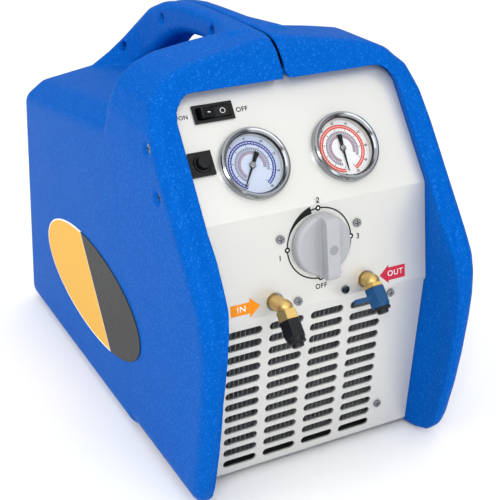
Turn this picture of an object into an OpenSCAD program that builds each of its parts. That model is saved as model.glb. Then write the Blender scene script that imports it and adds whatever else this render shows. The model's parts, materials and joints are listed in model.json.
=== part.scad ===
// Refrigerant recovery machine: moulded two-half shell, sloped control panel and slotted grille.
// Millimetres, +Z up, the front faces -Y, the origin is under the middle of the machine.

/* [Shell] */
// overall width
shell_w = 252; // [240:1:270]
// overall depth
shell_d = 482; // [470:1:500]
// top of the handle above the floor
shell_h = 366; // [356:1:376]
// shell wall
wall = 3.6; // [3:0.1:4.5]
// radius of the rounded front rim
rim_r = 11; // [9:0.5:12]
// edge radius of the rear body
body_r = 14; // [10:1:16]
// bottom edge of the shell above the floor
shell_z = 3; // [2:0.5:5]
// gap between the panels and the front opening
panel_gap = 0.4; // [0.2:0.1:1]
// lean of the rear face
rear_lean = 10.2; // [8:0.1:12]
// fall of the shoulders towards the rear
roof_fall = 8.7; // [6:0.1:10]
// gap left at the seam on each half
seam_gap = 0.1; // [0.05:0.05:0.3]

/* [Panels] */
// sheet thickness
sheet = 1.5; // [1:0.1:2]
// half width of the control and grille panels
panel_hw = 103.6; // [99:0.1:104]
// grille plane: depth of the first slot row
grille_y = -193; // [-198:0.5:-188]
// grille plane: height of the first slot row
grille_z = 150.7; // [146:0.1:155]
// overhang angle of the grille
grille_lean = 5.3; // [3:0.1:7]
// lean of the lower control panel
mid_lean = 7; // [5:0.1:9]
// lean of the upper control panel
upper_lean = 36.5; // [34:0.1:39]
// length of the lower control panel
mid_len = 83.5; // [82:0.1:86]
// length of the upper control panel
upper_len = 110; // [106:0.5:112]
// slot length
slot_l = 31.6; // [28:0.1:34]
// slot height
slot_h = 7.4; // [6:0.1:8.5]
// slot pitch across
slot_px = 38.4; // [36:0.1:40]
// slot pitch down
slot_pz = 12.04; // [11.5:0.01:12.5]

/* [Gauges] */
// bezel radius
bezel_r = 29.5; // [28:0.1:31]
// how far the bezel stands out
bezel_h = 7; // [5:0.1:9]
// low gauge, across
low_x = -44.6; // [-48:0.1:-42]
// high gauge, across
high_x = 38.6; // [36:0.1:42]
// gauge centres, up the upper panel
gauge_h = 41.4; // [38:0.1:44]
// needle spindle radius
spindle_r = 1.2; // [1:0.05:1.5]

/* [Valve] */
// knob centre up the lower control panel
knob_s = 50.6; // [48:0.1:53]
// knob radius
knob_r = 25.6; // [23:0.1:27]
// valve stem radius
stem_r = 4; // [3:0.1:5]
// running clearance of turning and sliding pieces
run = 0.06; // [0.03:0.01:0.09]
// loose clearance round fixed pieces
loose = 0.3; // [0.2:0.05:0.5]

/* [Ports] */
// port distance from the middle
port_x = 43.3; // [41:0.1:45]
// port height up the lower control panel
port_s = 10; // [9:0.1:11]
// radius of the port holes
port_hole_r = 7.8; // [7.4:0.1:8.2]
// radius of the threaded spigot
spigot_r = 5.5; // [5:0.1:6]
// cap radius over the corners
cap_r = 9.2; // [8.5:0.1:10]
// cap length
cap_l = 18; // [16:0.5:20]

/* [Switches] */
// rocker switch centre, across
sw_x = -66.1; // [-70:0.1:-62]
// rocker switch centre, up the upper panel
sw_h = 88; // [85:0.1:91]
// rocker bezel length
sw_l = 34.6; // [32:0.1:36]
// rocker bezel width
sw_w = 15; // [14:0.1:16]
// rocker angle between off and on
sw_turn = 16; // [10:1:20]
// breaker centre, across
brk_x = -88.2; // [-91:0.1:-86]
// breaker centre, up the upper panel
brk_h = 48.6; // [45:0.1:51]
// breaker side
brk_w = 19.6; // [18:0.1:21]
// reset button radius
button_r = 5; // [4:0.1:6]

/* [Inside] */
// condenser tube radius
tube_r = 4; // [3.5:0.1:4.5]
// fin pitch
fin_pitch = 4.4; // [4:0.1:6]
// fan radius
fan_r = 56; // [50:1:58]
// compressor motor radius
motor_r = 50; // [44:1:52]

/* [Hidden] */

lip_a = 13.1;
rim_ease = 0.35;
hoop_ease = 0.15;
fit = 0.02;
rear_ease = 2.1;
half_w = shell_w / 2;
open_hw = panel_hw + panel_gap;
hoop_hw = half_w - hoop_ease;
hoop_z = shell_z + hoop_ease;
front_y = -shell_d / 2;
rear_y = shell_d / 2 + rear_ease;
floor_in = shell_z + wall;
base_t = 2;
base_top = floor_in + base_t;
big = 700;
base_hw = half_w - 13;
base_y0 = -179;
base_y1 = 223;
base_step = -59;
foot_x = 76;
foot_y = [-140, 190];

// front face of the lower control panel starts here, one sheet in front of the grille
lip_y = grille_y - lip_a * sin(grille_lean) - sheet * cos(grille_lean);
lip_z = grille_z + lip_a * cos(grille_lean) - sheet * sin(grille_lean);
crease_y = lip_y + mid_len * sin(mid_lean);
crease_z = lip_z + mid_len * cos(mid_lean);

// the straight slope of the front hoop, from its knee to its crown
rim_low = [front_y + 18, 214];
rim_high = [front_y + 113, shell_h - 22];
function below_rim(y, drop) = [y, rim_low[1] - drop + (y - rim_low[0]) * (rim_high[1] - rim_low[1])
    / (rim_high[0] - rim_low[0])];
// side view of the front hoop, outer surface, from the front foot over the top and down behind
hoop_side = [[front_y + 50, hoop_z], [front_y + 36, 7], [front_y + 28, 16], [front_y + 22.5, 29],
    [front_y + 13.5, 66], [front_y + 7.5, 100], [front_y + 3, 136], [front_y + 1.2, 160],
    [front_y + 2.4, 180], [front_y + 7, 197], rim_low, rim_high,
    [front_y + 122, shell_h - 10], [front_y + 133, shell_h - 2.5], [front_y + 146, shell_h],
    [-62, shell_h], [-30, 255], [-30, hoop_z]];
// front view of the hoop, half of it, from the foot up
hoop_half = [[hoop_hw - 16, hoop_z], [hoop_hw - 5, 8.5], [hoop_hw, 21], [hoop_hw, shell_h - 81],
    [hoop_hw - 1.6, shell_h - 56], [hoop_hw - 8, shell_h - 35], [hoop_hw - 22, shell_h - 21],
    [hoop_hw - 40, shell_h - 13], [hoop_hw - 69, shell_h - 8],
    [hoop_hw - 98, shell_h - 4], [0, shell_h]];
// rear body in front view at y = 0, half of it
body_half = [[half_w, -60], [half_w, shell_h - 89], [half_w - 20, shell_h - 74], [50, shell_h - 65],
    [0, shell_h - 62]];

function unit(v) = v / norm(v);
function inward(p, q) = let (d = unit(q - p)) [d[1], -d[0]];
function inset(pts, d) = let (n = len(pts)) [for (i = [0:n - 1])
    let (a = inward(pts[(i + n - 1) % n], pts[i]), b = inward(pts[i], pts[(i + 1) % n]))
    pts[i] + (a + b) / (1 + a * b) * d];
function flip(pts) = [for (i = [len(pts) - 1:-1:0]) [-pts[i][0], pts[i][1]]];

hoop_core = inset(hoop_side, rim_r);
hoop_ring = concat([for (p = hoop_half) if (p[0] > 0) [-p[0], p[1]]], [hoop_half[len(hoop_half) - 1]],
    [for (i = [len(hoop_half) - 2:-1:0]) hoop_half[i]]);
hoop_ring_core = inset(hoop_ring, rim_r);
body_ring = concat([for (p = body_half) if (p[0] > 0) [-p[0], p[1]]], [body_half[len(body_half) - 1]],
    [for (i = [len(body_half) - 2:-1:0]) body_half[i]]);
body_ring_core = inset(body_ring, body_r);
rear_t = tan(rear_lean);
body_top = shell_h - 26;
body_side = [[-80, shell_z], [-80, body_top], [rear_y - rear_t * body_top, body_top],
    [rear_y - rear_t * shell_z, shell_z]];
body_core = inset(body_side, body_r);

// rim centre line: half width against height, and depth against height
rim_x = [for (i = [0:10]) [hoop_ring_core[i][1], -hoop_ring_core[i][0]]];
rim_y = [for (i = [0:12]) [hoop_core[i][1], hoop_core[i][0]]];
rim_zs = concat([for (i = [0:10]) hoop_core[i][1]], [for (d = [116, 91, 76, 63, 52, 42, 35, 30]) shell_h - d]);

// handle, from the hoop to the rear: depth, top height, half width, thickness, slope
grip = [[-80, shell_h, 30, 27, 0], [-40, shell_h, 19, 26, 0], [0, shell_h - 0.4, 17, 25, 1],
    [36, shell_h - 2, 17, 27, 4], [64, shell_h - 5.5, 17.5, 31, 9], [90, shell_h - 11, 18, 37, 18],
    [116, shell_h - 21, 19.5, 42, 30], [140, shell_h - 38.5, 23, 42, 40], [160, shell_h - 58, 31, 40, 48],
    [174, shell_h - 76, 44, 37, 54], [182, shell_h - 92, 62, 32, 62]];
grip_r = 9;

// screw places: in the side of the rim, then in the side of the handle
rim_screws = [below_rim(-138.6, 30.5), below_rim(-157, 39.3)];
grip_screws = [[151, shell_h - 66], [78.5, shell_h - 24], [-33, shell_h - 12]];

module on_grille(x, a) {
    translate([x, grille_y - a * sin(grille_lean), grille_z + a * cos(grille_lean)])
        rotate([90 + grille_lean, 0, 0])
            children();
}

module on_mid(x, s) {
    translate([x, lip_y + s * sin(mid_lean), lip_z + s * cos(mid_lean)])
        rotate([90 - mid_lean, 0, 0])
            children();
}

module on_upper(x, h) {
    translate([x, crease_y + h * sin(upper_lean), crease_z + h * cos(upper_lean)])
        rotate([90 - upper_lean, 0, 0])
            children();
}

module on_rear(x, h) {
    translate([x, rear_y - h * sin(rear_lean), h * cos(rear_lean)])
        rotate([rear_lean - 90, 0, 0])
            rotate([0, 0, 180])
                children();
}

// a box centred across and up, from z0 to z1
module slab(w, h, z0, z1) {
    translate([-w / 2, -h / 2, z0])
        cube([w, h, z1 - z0]);
}

module disc(r, z0, z1) {
    translate([0, 0, z0])
        cylinder(r = r, h = z1 - z0, $fn = 48);
}

// one point of a tube: a ball at a corner, a flat face at an end, looking at the point q
module pipe_point(p, q, r, corner) {
    d = unit(q - p);
    translate(p)
        if (corner)
            sphere(r = r, $fn = 14);
        else
            rotate([0, acos(d[2]), atan2(d[1], d[0])])
                cylinder(r = r, h = 0.5, $fn = 14);
}

// a tube through a list of points, with round corners
module pipe(pts, r) {
    for (i = [0:len(pts) - 2])
        hull() {
            pipe_point(pts[i], pts[i + 1], r, i > 0);
            pipe_point(pts[i + 1], pts[i], r, i < len(pts) - 2);
        }
}

// prism with a (y, z) outline, across the machine
module across(pts, w) {
    translate([-w / 2, 0, 0])
        rotate([90, 0, 90])
            linear_extrude(height = w)
                polygon(pts);
}

// prism with an (x, z) outline, front to back
module along(pts, y0, y1) {
    translate([0, y1, 0])
        rotate([90, 0, 0])
            linear_extrude(height = y1 - y0)
                polygon(pts);
}

module hoop_block(r) {
    minkowski() {
        intersection() {
            across(hoop_core, shell_w);
            along(hoop_ring_core, front_y, 0);
        }
        sphere(r = r, $fn = 20);
    }
}

module body_block(r) {
    minkowski() {
        intersection() {
            across(body_core, shell_w);
            rotate([-roof_fall, 0, 0])
                along(body_ring_core, -150, 400);
        }
        sphere(r = r, $fn = 20);
    }
}

module grip_section(g) {
    translate([0, g[0], g[1]])
        rotate([-g[4], 0, 0])
            for (x = [-1, 1], z = [-grip_r, grip_r - g[3]])
                translate([x * (g[2] - grip_r), 0, z])
                    sphere(r = grip_r, $fn = 16);
}

module grip_chain() {
    for (i = [0:len(grip) - 2])
        hull() {
            grip_section(grip[i]);
            grip_section(grip[i + 1]);
        }
}

module rim_tube() {
    for (i = [0:len(rim_zs) - 2])
        hull()
            for (z = [rim_zs[i], rim_zs[i + 1]])
                translate([-lookup(z, rim_x), lookup(z, rim_y), z])
                    sphere(r = rim_r - rim_ease, $fn = 20);
}

// outline of the front opening, wider by e
module opening(e, y0, y1) {
    hw = open_hw + e;
    top = crease_z + upper_len * cos(upper_lean) + 1 + e;
    along([[-hw, -big], [-hw, top - 18], [-hw + 1.5, top - 11], [-hw + 6, top - 5], [-hw + 13, top - 1.3],
        [-hw + 21, top], [hw - 21, top], [hw - 13, top - 1.3], [hw - 6, top - 5], [hw - 1.5, top - 11],
        [hw, top - 18], [hw, -big]], y0, y1);
}

// everything in front of the panels, moved back by d
module panel_front(d) {
    across([[-big, -20], [grille_y + 20 + d, -20], [lip_y + d + 4, lip_z], [crease_y + d, crease_z],
        [crease_y + d + big * sin(upper_lean), crease_z + big * cos(upper_lean)], [-big, big]], shell_w);
}

module half_space() {
    translate([-big, -big, -big])
        cube([big - seam_gap, 2 * big, 2 * big]);
}

// one half of the shell, on the left; grip_cut is the radius of the screw holes in the handle
module shell_half(grip_cut, grip_sink) {
    difference() {
        intersection() {
            union() {
                difference() {
                    union() {
                        hoop_block(rim_r);
                        body_block(body_r);
                        grip_chain();
                    }
                    hoop_block(rim_r - wall);
                    body_block(body_r - wall);
                    intersection() {
                        opening(half_w - rim_r - open_hw, -big, -60);
                        difference() {
                            across([[-big, -big], [-62, -big], [-62, shell_h - 40], [-big, shell_h - 40]], shell_w);
                            across(hoop_core, shell_w);
                        }
                    }
                }
                rim_tube();
                for (p = rim_screws)
                    translate([2 - half_w, p[0], p[1]])
                        rotate([0, 90, 0])
                            cylinder(r = 7.5, h = half_w - open_hw - 2.5, $fn = 24);
                intersection() {
                    hoop_block(rim_r - 0.5);
                    panel_front(16);
                    opening(wall, -big, -60);
                }
            }
            half_space();
        }
        opening(0, -big, -60);
        slab(2 * 96, 2 * 205, -big, floor_in + 1);
        translate([-base_hw - loose, base_step - loose, floor_in])
            cube([2 * (base_hw + loose), base_y1 - base_step + 2 * loose, 30]);
        on_rear(0, 125)
            slab(2 * 92, 196, -40, big);
        on_rear(0, 125)
            slab(2 * 100.3, 212.6, -30, -wall);
        for (p = rim_screws)
            translate([0, p[0], p[1]])
                rotate([0, -90, 0]) {
                    translate([0, 0, half_w - 5])
                        cylinder(r = 4.6, h = 30, $fn = 24);
                    translate([0, 0, open_hw - 12])
                        cylinder(r = 2.2, h = 60, $fn = 16);
                }
        for (p = grip_screws)
            translate([0, p[0], p[1]])
                rotate([0, -90, 0]) {
                    translate([0, 0, -1])
                        cylinder(r = grip_cut, h = 60, $fn = 20);
                    translate([0, 0, 11])
                        cylinder(r = grip_sink, h = 60, $fn = 24);
                }
    }
}

module left_shell() {
    color("#0a5fd0")
        shell_half(2.2, 4.6);
}

module right_shell() {
    color("#0a5fd0")
        mirror([1, 0, 0])
            shell_half(2.2, 2.2);
}

module plate(w, l, t) {
    translate([-w / 2, 0, -t])
        cube([w, l, t]);
}

module control_panel() {
    color("#e8e8e6")
        difference() {
            union() {
                on_grille(0, lip_a - 4)
                    translate([0, 0, sheet])
                        plate(2 * panel_hw, 4, sheet);
                on_mid(0, 0)
                    plate(2 * panel_hw, mid_len, sheet);
                on_upper(0, 0)
                    intersection() {
                        plate(2 * panel_hw, upper_len, sheet);
                        union() {
                            slab(2 * panel_hw, 2 * (upper_len - 22), -10, 10);
                            slab(2 * (panel_hw - 22), 2 * upper_len, -10, 10);
                            for (x = [-1, 1])
                                translate([x * (panel_hw - 22), upper_len - 22, -10])
                                    cylinder(r = 22, h = 20, $fn = 48);
                        }
                    }
            }
            for (x = [low_x, high_x])
                on_upper(x, gauge_h)
                    disc(bezel_r - 3 + loose, -9, 9);
            on_upper(sw_x, sw_h)
                slab(sw_l - 4 + 2 * loose, sw_w - 3 + 2 * loose, -9, 9);
            on_upper(brk_x, brk_h)
                slab(brk_w - 4 + 2 * loose, brk_w - 4 + 2 * loose, -9, 9);
            on_mid(0, knob_s)
                disc(stem_r + 3, -9, 9);
            for (x = [-port_x, port_x])
                on_mid(x, port_s)
                    disc(port_hole_r, -9, 9);
            for (p = manifold_screw_at)
                on_mid(p[0], p[1])
                    disc(2, -9, 9);
        }
}

manifold_screw_at = [[-35.6, 61], [35.6, 61], [-22.3, 5.6], [22.3, 5.6]];
panel_screw_at = [[-95, 3.3], [69.2, 3.3], [-95, -115.2], [69.2, -115.2]];
grille_low = -141.6;

module grille_panel() {
    color("#d9dad6")
        difference() {
            union() {
                on_grille(0, grille_low)
                    plate(2 * panel_hw, lip_a - 0.6 - grille_low, sheet);
                for (x = [-1, 1])
                    on_grille(x * (panel_hw - sheet / 2), grille_low)
                        plate(sheet, lip_a - 0.6 - grille_low, 14);
                difference() {
                    translate([-panel_hw, grille_y - grille_low * sin(grille_lean) - 9, base_top])
                        cube([2 * panel_hw, 10, sheet]);
                    on_grille(0, grille_low - 20)
                        slab(big, big, -0.01, big);
                }
            }
            for (c = [0:3], r = [0:11])
                on_grille(-69.6 + c * slot_px, -r * slot_pz) {
                    slab(slot_l - slot_h, slot_h, -9, 9);
                    for (x = [-1, 1])
                        translate([x * (slot_l - slot_h) / 2, 0, -9])
                            cylinder(r = slot_h / 2, h = 18, $fn = 24);
                }
            for (p = panel_screw_at)
                on_grille(p[0], p[1])
                    disc(1.6, -9, 9);
        }
}

module base_plate() {
    color("#8d9196")
        difference() {
            union() {
                translate([-base_hw, base_step, floor_in])
                    cube([2 * base_hw, base_y1 - base_step, base_t]);
                translate([-panel_hw, base_y0, floor_in])
                    cube([2 * panel_hw, base_step - base_y0 + 20, base_t]);
            }
            for (x = [-foot_x, foot_x], y = foot_y)
                translate([x, y, 0])
                    disc(2, 0, 30);
        }
}

module rubber_feet() {
    color("#1c1d1f")
        for (x = [-foot_x, foot_x], y = foot_y)
            translate([x, y, 0]) {
                disc(12, 0, floor_in);
                disc(2 - fit, floor_in - 1, base_top + 3);
            }
}

module screw(r, h, shank, l) {
    difference() {
        union() {
            disc(r, 0, h);
            disc(shank, -l, 0.5);
        }
        slab(0.9, 1.3 * r, h - 0.8, h + 1);
        slab(1.3 * r, 0.9, h - 0.8, h + 1);
    }
}

module panel_screws() {
    color("#c8cacc")
        for (p = panel_screw_at)
            on_grille(p[0], p[1])
                screw(3.6, 1.8, 1.6 - fit, 6);
}

module manifold_screws() {
    color("#c8cacc")
        for (p = manifold_screw_at)
            on_mid(p[0], p[1])
                screw(3.6, 1.8, 2 - fit, 12);
}

module shell_screws() {
    color("#b9bcc0") {
        for (s = [-1, 1], p = rim_screws)
            translate([s * (half_w - 5), p[0], p[1]])
                rotate([0, s * 90, 0])
                    screw(3.8, 2.2, 2, half_w - 5 - panel_hw - 2);
        for (p = grip_screws)
            translate([-11, p[0], p[1]])
                rotate([0, -90, 0])
                    screw(3.8, 2.2, 2, 9);
    }
}

module rear_panel() {
    color("#8d9196")
        difference() {
            on_rear(0, 125)
                slab(200, 212, -wall - sheet, -wall);
            for (c = [-2:2], r = [0:7])
                on_rear(c * 34, 110 + r * 13)
                    slab(26, 6, -20, 9);
            on_rear(-48, 56)
                slab(27.4 + 2 * loose, 24 + 2 * loose, -20, 9);
            for (x = [-96, 96], h = [30, 220])
                on_rear(x, h)
                    disc(1.6, -20, -1);
        }
}

module rear_screws() {
    color("#b9bcc0")
        for (x = [-96, 96], h = [30, 220])
            on_rear(x, h)
                mirror([0, 0, 1])
                    translate([0, 0, wall + sheet])
                        screw(3.4, 1.6, 1.6 - fit, sheet);
}

// gauge pieces, in the frame of the panel face with +Z outwards
module gauge_case() {
    difference() {
        union() {
            disc(bezel_r - 1, 0, 1.6);
            disc(bezel_r - 3, -28, 0.5);
            disc(6, -36, -27);
        }
        disc(bezel_r - 6, -25, -4);
        disc(bezel_r - 4.5, -4, 9);
    }
}

module gauge_bezel() {
    rotate_extrude($fn = 72)
        polygon([[bezel_r - 0.9, 0], [bezel_r, 0], [bezel_r, bezel_h - 2], [bezel_r - 0.6, bezel_h - 0.7],
            [bezel_r - 2, bezel_h], [bezel_r - 3.2, bezel_h - 0.4], [bezel_r - 4.4, bezel_h - 2],
            [bezel_r - 4.4, 3.6], [bezel_r - 0.9, 3.6]]);
}

module gauge_lens() {
    disc(bezel_r - 1, 1.6, 3.6);
}

module gauge_dial() {
    difference() {
        disc(bezel_r - 4.6, -4, -3.2);
        disc(spindle_r + loose, -9, 9);
    }
}

module gauge_movement() {
    difference() {
        disc(9, -25, -6);
        disc(spindle_r + run, -18, 0);
    }
}

// the needle points to the angle a, counted clockwise from straight up
module gauge_needle(a) {
    rotate([0, 0, -a]) {
        disc(spindle_r, -17, -0.8);
        disc(2.6, -2.2, -1.2);
        translate([0, 0, -2.2])
            linear_extrude(height = 0.7)
                polygon([[-1.1, -7], [1.1, -7], [0.9, 2], [0.25, 19.5], [-0.25, 19.5], [-0.9, 2]]);
    }
}

low_rest = 214;
high_rest = 181;

module low_case() { color("#202226") on_upper(low_x, gauge_h) gauge_case(); }
module low_bezel() { color("#d5d8dc") on_upper(low_x, gauge_h) gauge_bezel(); }
module low_dial() { color("#f4f4f2") on_upper(low_x, gauge_h) gauge_dial(); }
module low_needle() { color("#141414") on_upper(low_x, gauge_h) gauge_needle(low_rest); }
module low_lens() { color("#dfe8ee", 0.3) on_upper(low_x, gauge_h) gauge_lens(); }
module low_movement() { color("#b08d3e") on_upper(low_x, gauge_h) gauge_movement(); }
module high_case() { color("#202226") on_upper(high_x, gauge_h) gauge_case(); }
module high_bezel() { color("#d5d8dc") on_upper(high_x, gauge_h) gauge_bezel(); }
module high_dial() { color("#f4f4f2") on_upper(high_x, gauge_h) gauge_dial(); }
module high_needle() { color("#141414") on_upper(high_x, gauge_h) gauge_needle(high_rest); }
module high_lens() { color("#dfe8ee", 0.3) on_upper(high_x, gauge_h) gauge_lens(); }
module high_movement() { color("#b08d3e") on_upper(high_x, gauge_h) gauge_movement(); }

knob_gap = 0.8;
skirt_h = 9;
bar_top = 23;
bar_w = 12;

module valve_knob() {
    color("#d4d6da")
        on_mid(0, knob_s)
            difference() {
                union() {
                    rotate_extrude($fn = 72)
                        polygon([[0, knob_gap], [knob_r - 0.5, knob_gap], [knob_r, knob_gap + 1],
                            [knob_r - 0.4, skirt_h - 2.4], [knob_r - 1.2, skirt_h - 0.8], [knob_r - 2.8, skirt_h],
                            [0, skirt_h]]);
                    rotate([90, 0, 90])
                        translate([0, 0, -bar_w / 2])
                            linear_extrude(height = bar_w)
                                polygon([[-knob_r - 0.6, knob_gap + 2], [-knob_r - 0.6, bar_top - 5],
                                    [-knob_r + 2.4, bar_top - 1], [-knob_r + 6, bar_top], [knob_r - 6, bar_top],
                                    [knob_r - 2.4, bar_top - 1], [knob_r - 0.6, bar_top - 5],
                                    [knob_r - 0.6, knob_gap + 2]]);
                }
                disc(stem_r + fit, -9, bar_top - 6);
                disc(3.8, bar_top - 2, bar_top + 9);
                for (s = [-1, 1])
                    translate([s * (bar_w / 2 + 1.5), 0, bar_top])
                        rotate([0, s * 9, 0])
                            slab(3, 2 * knob_r + 9, -14, 9);
            }
}

module knob_plug() {
    color("#8f9297")
        on_mid(0, knob_s)
            disc(3.8, bar_top - 2, bar_top - 0.4);
}

module valve_stem() {
    color("#b9bcc0")
        on_mid(0, knob_s)
            disc(stem_r, -22, bar_top - 6);
}

man_d = 32;

module valve_manifold() {
    color("#b9bdc1")
        difference() {
            on_mid(0, 0) {
                translate([-57, 1.5, -man_d])
                    cube([114, 20, man_d - sheet]);
                translate([-43, 1.5, -man_d])
                    cube([86, 67, man_d - sheet]);
            }
            on_mid(0, knob_s)
                disc(stem_r + run, -24, 9);
            for (x = [-port_x, port_x])
                on_mid(x, port_s)
                    disc(port_hole_r - 1.4 + fit, -16, 9);
            for (p = manifold_screw_at)
                on_mid(p[0], p[1])
                    disc(2, -14, 9);
        }
}

module switch_housing() {
    color("#17181a")
        on_upper(sw_x, sw_h)
            difference() {
                union() {
                    slab(sw_l, sw_w, 0, 2);
                    slab(sw_l - 4, sw_w - 3, -22, 1);
                }
                slab(sw_l - 5.6, sw_w - 5.4, -14, 9);
                translate([0, 0, -4])
                    rotate([90, 0, 0])
                        translate([0, 0, -(sw_w - 4) / 2])
                            cylinder(r = 1.4 + run, h = sw_w - 4, $fn = 32);
            }
}

module switch_rocker() {
    rl = sw_l / 2 - 4;
    rw = sw_w - 5.4 - 0.8;
    color("#101112")
        on_upper(sw_x, sw_h)
            translate([0, 0, -4])
                rotate([0, sw_turn / 2, 0])
                    rotate([90, 0, 0]) {
                        translate([0, 0, -rw / 2])
                            linear_extrude(height = rw)
                                polygon([[-rl, 2], [-rl + 0.4, 8.4], [-rl + 1.4, 8.9], [0, 6.2], [rl - 1.4, 8.9],
                                    [rl - 0.4, 8.4], [rl, 2], [3, -3], [-3, -3]]);
                        translate([0, 0, -(sw_w - 4.6) / 2])
                            cylinder(r = 1.4, h = sw_w - 4.6, $fn = 32);
                    }
}

module breaker_housing() {
    color("#17181a")
        on_upper(brk_x, brk_h)
            difference() {
                union() {
                    slab(brk_w, brk_w, 0, 3);
                    slab(brk_w - 4, brk_w - 4, -30, 1);
                    disc(button_r + 2.2, 2, 5);
                }
                disc(button_r + run, -12, 9);
            }
}

module breaker_button() {
    color("#2a2b2e")
        on_upper(brk_x, brk_h)
            disc(button_r, -8, 9.5);
}

// port pieces, in the frame of the panel face; the spigot turns down after its stub
module port_turn(stub) {
    translate([0, 0, stub])
        rotate([45 + mid_lean, 0, 0])
            children();
}

module port_fitting(stub, hex_l) {
    union() {
        disc(port_hole_r - 1.4, -12, stub);
        translate([0, 0, stub])
            sphere(r = port_hole_r - 0.8, $fn = 48);
        port_turn(stub) {
            disc(port_hole_r - 1.4, 0, 4);
            translate([0, 0, 3])
                cylinder(r = cap_r - 0.4, h = hex_l, $fn = 6);
            disc(spigot_r, 3, 3 + hex_l + cap_l - 3);
        }
    }
}

module port_cap(stub, hex_l) {
    port_turn(stub)
        translate([0, 0, 3 + hex_l + 0.4])
            difference() {
                union() {
                    cylinder(r = cap_r, h = cap_l - 4, $fn = 6);
                    translate([0, 0, cap_l - 4])
                        cylinder(r1 = cap_r * 0.86, r2 = cap_r * 0.74, h = 4, $fn = 48);
                }
                disc(spigot_r + run, -1, cap_l - 3);
            }
}

in_stub = 16;
in_hex = 8;
out_stub = 8;
out_hex = 3;

module inlet_fitting() { color("#c39a45") on_mid(-port_x, port_s) port_fitting(in_stub, in_hex); }
module inlet_cap() { color("#141516") on_mid(-port_x, port_s) port_cap(in_stub, in_hex); }
module outlet_fitting() { color("#c39a45") on_mid(port_x, port_s) port_fitting(out_stub, out_hex); }
module outlet_cap() {
    color("#144a7a")
        on_mid(port_x, port_s) {
            port_cap(out_stub, out_hex);
            port_turn(out_stub)
                translate([-cap_r - 13, -2.4, out_hex + 9])
                    cube([14, 4.8, 3.6]);
        }
}

// condenser, in the frame of the grille: depth behind the grille face is negative z
con_hw = 82;
con_z0 = -48;
con_z1 = -8;
con_top = -2;
con_low = -138;
tube_rows = 5;
tube_gap = 25;
function tube_at(r, c) = [con_top - 17 - r * tube_gap, c == 0 ? con_z1 - 10 : con_z0 + 10];

module condenser_fins() {
    n = floor((2 * con_hw - 6) / fin_pitch);
    color("#c9cccf")
        on_grille(0, 0)
            for (i = [0:n])
                translate([-n * fin_pitch / 2 + i * fin_pitch - 0.2, 0, 0])
                    rotate([90, 0, 90])
                        linear_extrude(height = 0.4)
                            difference() {
                                translate([con_low, con_z0 + 2])
                                    square([con_top - con_low, con_z1 - con_z0 - 4]);
                                for (r = [0:tube_rows - 1], c = [0, 1])
                                    translate(tube_at(r, c))
                                        circle(r = tube_r + fit, $fn = 24);
                            }
}

module condenser_tubes() {
    color("#b87344")
        on_grille(0, 0) {
            for (r = [0:tube_rows - 1], c = [0, 1])
                translate([-con_hw - 4, tube_at(r, c)[0], tube_at(r, c)[1]])
                    rotate([0, 90, 0])
                        cylinder(r = tube_r, h = 2 * con_hw + 8, $fn = 24);
            for (r = [0:tube_rows - 1])
                translate([con_hw + 4, tube_at(r, 0)[0], (con_z0 + con_z1) / 2])
                    rotate([90, 0, 0])
                        half_ring((con_z1 - con_z0) / 2 - 10);
            for (r = [0:tube_rows - 2])
                translate([-con_hw - 4, tube_at(r, 0)[0] - tube_gap / 2, tube_at(r, r % 2)[1]])
                    mirror([1, 0, 0])
                        half_ring(tube_gap / 2);
        }
}

// half of a ring of tube, in the plane of x and y, bulging to +X
module half_ring(r) {
    intersection() {
        rotate_extrude($fn = 48)
            translate([r, 0])
                circle(r = tube_r, $fn = 24);
        translate([0, -50, -50])
            cube([100, 100, 100]);
    }
}

module condenser_plates() {
    color("#a9adb1")
        difference() {
            for (x = [-1, 1])
                on_grille(x * (con_hw + 0.6), con_low - 20)
                    translate([0, 0, con_z1])
                        plate(1.2, con_top - con_low + 20, con_z1 - con_z0);
            on_grille(0, 0)
                for (r = [0:tube_rows - 1], c = [0, 1])
                    translate([-big / 2, tube_at(r, c)[0], tube_at(r, c)[1]])
                        rotate([0, 90, 0])
                            cylinder(r = tube_r + fit, h = big, $fn = 24);
            translate([-big / 2, -big / 2, base_top - big])
                cube([big, big, big]);
        }
}

fan_a = (con_top + con_low) / 2;

module fan_shroud() {
    color("#26282b")
        difference() {
            union() {
                on_grille(0, con_low - 20)
                    translate([0, 0, con_z0])
                        plate(2 * con_hw + 2.4, con_top - con_low + 20, 1.6);
                on_grille(0, fan_a)
                    disc(fan_r + 6, con_z0 - 20, con_z0 - 1);
            }
            on_grille(0, fan_a)
                disc(fan_r + 3.5, con_z0 - 90, con_z0 + 9);
            translate([-big / 2, -big / 2, base_top - big])
                cube([big, big, big]);
        }
}

module fan_rotor() {
    color("#33363a")
        on_grille(0, fan_a)
            difference() {
                union() {
                    disc(15, con_z0 - 20, con_z0 - 4);
                    for (i = [0:4])
                        rotate([0, 0, 72 * i])
                            translate([fan_r / 2 + 4, 0, con_z0 - 12])
                                rotate([32, 0, 0])
                                    slab(fan_r - 8, 22, -0.9, 0.9);
                }
                disc(3 + run, con_z0 - 30, con_z0 - 8);
                difference() {
                    disc(fan_r + 60, con_z0 - 60, con_z0 + 60);
                    disc(fan_r, con_z0 - 70, con_z0 + 70);
                }
            }
}

module fan_motor() {
    color("#4a4d52")
        on_grille(0, fan_a) {
            disc(28, con_z0 - 62, con_z0 - 26);
            disc(3, con_z0 - 30, con_z0 - 9);
        }
}

module fan_bracket() {
    color("#8d9196")
        difference() {
            on_grille(0, 0)
                translate([-34, con_low - 20, con_z0 - 64])
                    cube([68, fan_a - con_low + 52, 2]);
            translate([-big / 2, -big / 2, base_top - big])
                cube([big, big, big]);
        }
}

comp_z = 84;
comp_y = 75;
comp_mount = [[-52, 20], [52, 20], [-52, 128], [52, 128]];

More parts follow.
